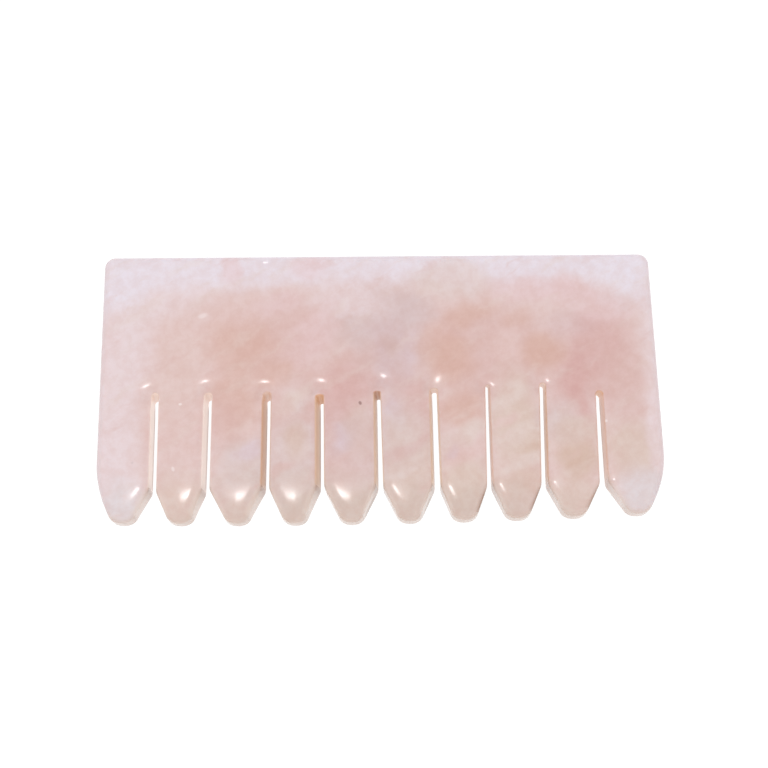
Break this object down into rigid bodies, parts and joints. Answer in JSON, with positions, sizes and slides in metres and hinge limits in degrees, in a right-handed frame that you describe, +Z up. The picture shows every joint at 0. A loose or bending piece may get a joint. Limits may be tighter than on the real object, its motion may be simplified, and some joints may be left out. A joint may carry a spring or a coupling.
{
  "type": "wide tooth comb",
  "caption": "Hand comb carved from one flat slab of polished rose quartz: a plain straight spine and broad teeth with ground points, parted by narrow saw-cut slots.",
  "frame": {"origin": "middle of the comb's footprint, on the surface that its back face rests on", "axes": "+X along the spine, -Y the way the teeth point, +Z up through the thickness to the front face"},
  "size_m": [0.1, 0.0504, 0.006],
  "materials": {
    "rose_quartz": "polished"
  },
  "bodies": {
    "root": {"comb": "rose_quartz"}
  },
  "joints": []
}
